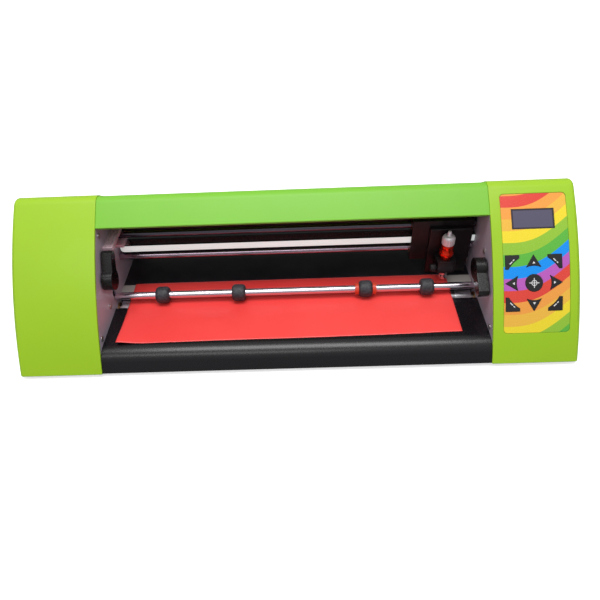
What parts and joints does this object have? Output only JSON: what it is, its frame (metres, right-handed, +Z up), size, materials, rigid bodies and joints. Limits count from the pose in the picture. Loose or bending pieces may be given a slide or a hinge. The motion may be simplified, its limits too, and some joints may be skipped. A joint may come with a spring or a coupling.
{
  "type": "vinyl cutter",
  "caption": "Desktop vinyl cutter with moulded end covers, a bulged sheet hood, a knife carriage on guide rods, pinch and drive rollers, a keypad panel and a vinyl sheet on its bed",
  "frame": {"origin": "middle of the bounding box's underside, on the surface that the feet stand on", "axes": "+X to the right seen from the front, +Y from the front to the back, +Z up"},
  "size_m": [0.576, 0.212, 0.14],
  "materials": {
    "green_plastic": "smooth moulded, semi-gloss",
    "green_paint": "satin powder coat",
    "grey_steel": "satin grey coat",
    "black_paint": "fine satin black coat",
    "strip_plastic": "matt",
    "red_vinyl": "glossy film",
    "rubber": "matt",
    "polished_steel": "polished",
    "red_plastic": "satin",
    "black_plastic": "satin moulded",
    "bronze": "machined",
    "aluminium": "machined",
    "belt_rubber": "matt",
    "white_belt": "satin",
    "motor_black": "satin",
    "red_anodised": "anodised",
    "clear_cap": "polished, knurled",
    "carbide": "ground",
    "keypad_print": "printed film",
    "display": "polished",
    "circuit_board": "solder mask",
    "zinc_steel": "zinc plated",
    "key_black": "satin"
  },
  "bodies": {
    "chassis": {"base_plate": "grey_steel", "left_side_plate": "grey_steel", "right_side_plate": "grey_steel", "left_end_cover": "green_plastic", "right_end_cover": "green_plastic", "top_cover": "green_paint", "front_platen": "black_paint", "rear_platen": "black_paint", "cutting_strip": "strip_plastic", "carriage_beam": "black_paint", "upper_guide_rod": "polished_steel", "lower_guide_rod": "polished_steel", "idler_bar": "aluminium", "carriage_belt": "white_belt", "feed_belt": "belt_rubber", "feed_motor": "motor_black", "carriage_motor": "motor_black", "roller_bushes": "bronze", "keypad_overlay": "keypad_print", "lcd_module": "display", "keypad_board": "circuit_board", "main_board": "circuit_board", "power_supply": "zinc_steel", "power_inlet": "black_plastic", "data_socket": "zinc_steel", "rubber_feet": "rubber", "side_plate_screws": "zinc_steel"},
    "carriage": {"carriage_body": "black_plastic", "linear_bushes": "bronze", "lift_unit": "black_plastic"},
    "tool": {"tool_clamp": "black_plastic", "blade_holder": "red_anodised"},
    "cap": {"blade_cap": "clear_cap"},
    "knife": {"knife_blade": "carbide"},
    "knob": {"clamp_knob": "black_plastic"},
    "idler": {"idler_pulley": "aluminium"},
    "carriage_drive": {"carriage_motor_pulley": "aluminium"},
    "drive": {"drive_roller": "polished_steel", "feed_pulley": "aluminium"},
    "feed_drive": {"feed_motor_pulley": "aluminium"},
    "pinch_lift": {"pinch_holders": "black_plastic"},
    "pinch_shaft": {"pinch_shaft": "polished_steel"},
    "pinch_1": {"pinch_roller_1": "rubber"},
    "pinch_2": {"pinch_roller_2": "rubber"},
    "pinch_3": {"pinch_roller_3": "rubber", "roller_collars": "red_plastic"},
    "pinch_4": {"pinch_roller_4": "rubber"},
    "left_lever": {"left_lever": "black_plastic"},
    "right_lever": {"right_lever": "black_plastic"},
    "rocker": {"power_switch": "black_plastic"},
    "media": {"vinyl_sheet": "red_vinyl"},
    "key_up": {"key_up": "key_black"},
    "key_down": {"key_down": "key_black"},
    "key_left": {"key_left": "key_black"},
    "key_right": {"key_right": "key_black"},
    "key_upper_left": {"key_upper_left": "key_black"},
    "key_upper_right": {"key_upper_right": "key_black"},
    "key_lower_left": {"key_lower_left": "key_black"},
    "key_lower_right": {"key_lower_right": "key_black"},
    "key_centre": {"key_centre": "key_black"}
  },
  "joints": [
    {"name": "carriage_travel", "type": "slide", "parent": "chassis", "child": "carriage", "axis": [1, 0, 0], "range_m": [-0.305, 0.003]},
    {"name": "idler_turn", "type": "hinge", "parent": "chassis", "child": "idler", "pos_m": [-0.1905, 0.028, 0.07], "axis": [0, 0, 1], "range_deg": [-2900, 40]},
    {"name": "carriage_motor_turn", "type": "hinge", "parent": "chassis", "child": "carriage_drive", "pos_m": [0.228, 0.028, 0.07], "axis": [0, 0, 1], "range_deg": [-2900, 40]},
    {"name": "knife_lift", "type": "slide", "parent": "carriage", "child": "tool", "axis": [0, 0, 1], "range_m": [-0.002, 0], "stiffness_N_per_m": 400, "springref_m": 0.003},
    {"name": "cap_turn", "type": "hinge", "parent": "tool", "child": "cap", "pos_m": [0.168, 0.005, 0.08], "axis": [0, 0, 1], "range_deg": [-180, 180]},
    {"name": "knife_swivel", "type": "hinge", "parent": "tool", "child": "knife", "pos_m": [0.168, 0.005, 0.05], "axis": [0, 0, 1], "continuous": true},
    {"name": "clamp_knob_turn", "type": "hinge", "parent": "tool", "child": "knob", "pos_m": [0.153, -0.0015, 0.0475], "axis": [1, 0, 0], "range_deg": [-180, 180]},
    {"name": "feed_turn", "type": "hinge", "parent": "chassis", "child": "drive", "pos_m": [0, -0.0175, 0.016], "axis": [1, 0, 0], "continuous": true},
    {"name": "feed_motor_turn", "type": "hinge", "parent": "chassis", "child": "feed_drive", "pos_m": [-0.213, 0.03, 0.034], "axis": [1, 0, 0], "continuous": true},
    {"name": "right_lever_turn", "type": "hinge", "parent": "chassis", "child": "right_lever", "pos_m": [0.195, -0.0305, 0.0695], "axis": [1, 0, 0], "range_deg": [-145, 0]},
    {"name": "left_lever_turn", "type": "hinge", "parent": "chassis", "child": "left_lever", "pos_m": [-0.195, -0.0305, 0.0695], "axis": [1, 0, 0], "range_deg": [0, 145]},
    {"name": "pinch_raise", "type": "slide", "parent": "chassis", "child": "pinch_lift", "axis": [0, 0, 1], "range_m": [0, 0.0051]},
    {"name": "pinch_spin", "type": "hinge", "parent": "pinch_lift", "child": "pinch_shaft", "pos_m": [0, -0.0175, 0.0339], "axis": [1, 0, 0], "continuous": true},
    {"name": "power_switch_rock", "type": "hinge", "parent": "chassis", "child": "rocker", "pos_m": [-0.219, 0.1, 0.042], "axis": [1, 0, 0], "range_deg": [0, 12]},
    {"name": "media_slide", "type": "slide", "parent": "chassis", "child": "media", "axis": [0, 1, 0], "range_m": [-0.008, 0.05]},
    {"name": "pinch_roller_1_shift", "type": "slide", "parent": "pinch_shaft", "child": "pinch_1", "axis": [1, 0, 0], "range_m": [-0.02, 0.02]},
    {"name": "pinch_roller_2_shift", "type": "slide", "parent": "pinch_shaft", "child": "pinch_2", "axis": [1, 0, 0], "range_m": [-0.02, 0.02]},
    {"name": "pinch_roller_3_shift", "type": "slide", "parent": "pinch_shaft", "child": "pinch_3", "axis": [1, 0, 0], "range_m": [-0.02, 0.02]},
    {"name": "pinch_roller_4_shift", "type": "slide", "parent": "pinch_shaft", "child": "pinch_4", "axis": [1, 0, 0], "range_m": [-0.02, 0.02]},
    {"name": "key_up_press", "type": "slide", "parent": "chassis", "child": "key_up", "axis": [0, -0.7377, 0.6751], "range_m": [-0.0006, 0], "stiffness_N_per_m": 400, "springref_m": 0.0005},
    {"name": "key_down_press", "type": "slide", "parent": "chassis", "child": "key_down", "axis": [0, -0.7377, 0.6751], "range_m": [-0.0006, 0], "stiffness_N_per_m": 400, "springref_m": 0.0005},
    {"name": "key_left_press", "type": "slide", "parent": "chassis", "child": "key_left", "axis": [0, -0.7377, 0.6751], "range_m": [-0.0006, 0], "stiffness_N_per_m": 400, "springref_m": 0.0005},
    {"name": "key_right_press", "type": "slide", "parent": "chassis", "child": "key_right", "axis": [0, -0.7377, 0.6751], "range_m": [-0.0006, 0], "stiffness_N_per_m": 400, "springref_m": 0.0005},
    {"name": "key_upper_left_press", "type": "slide", "parent": "chassis", "child": "key_upper_left", "axis": [0, -0.7377, 0.6751], "range_m": [-0.0006, 0], "stiffness_N_per_m": 400, "springref_m": 0.0005},
    {"name": "key_upper_right_press", "type": "slide", "parent": "chassis", "child": "key_upper_right", "axis": [0, -0.7377, 0.6751], "range_m": [-0.0006, 0], "stiffness_N_per_m": 400, "springref_m": 0.0005},
    {"name": "key_lower_left_press", "type": "slide", "parent": "chassis", "child": "key_lower_left", "axis": [0, -0.7377, 0.6751], "range_m": [-0.0006, 0], "stiffness_N_per_m": 400, "springref_m": 0.0005},
    {"name": "key_lower_right_press", "type": "slide", "parent": "chassis", "child": "key_lower_right", "axis": [0, -0.7377, 0.6751], "range_m": [-0.0006, 0], "stiffness_N_per_m": 400, "springref_m": 0.0005},
    {"name": "key_centre_press", "type": "slide", "parent": "chassis", "child": "key_centre", "axis": [0, -0.7377, 0.6751], "range_m": [-0.0006, 0], "stiffness_N_per_m": 400, "springref_m": 0.0005}
  ],
  "couplings": [
    {"joint": "idler_turn", "follows": "carriage_travel", "rad_per_m": 165.29},
    {"joint": "carriage_motor_turn", "follows": "carriage_travel", "rad_per_m": 165.29},
    {"joint": "feed_motor_turn", "follows": "feed_turn", "ratio": 1.4},
    {"joint": "pinch_spin", "follows": "feed_turn", "ratio": -0.85106},
    {"joint": "pinch_raise", "follows": "right_lever_turn", "m_per_rad": -0.0019757}
  ]
}
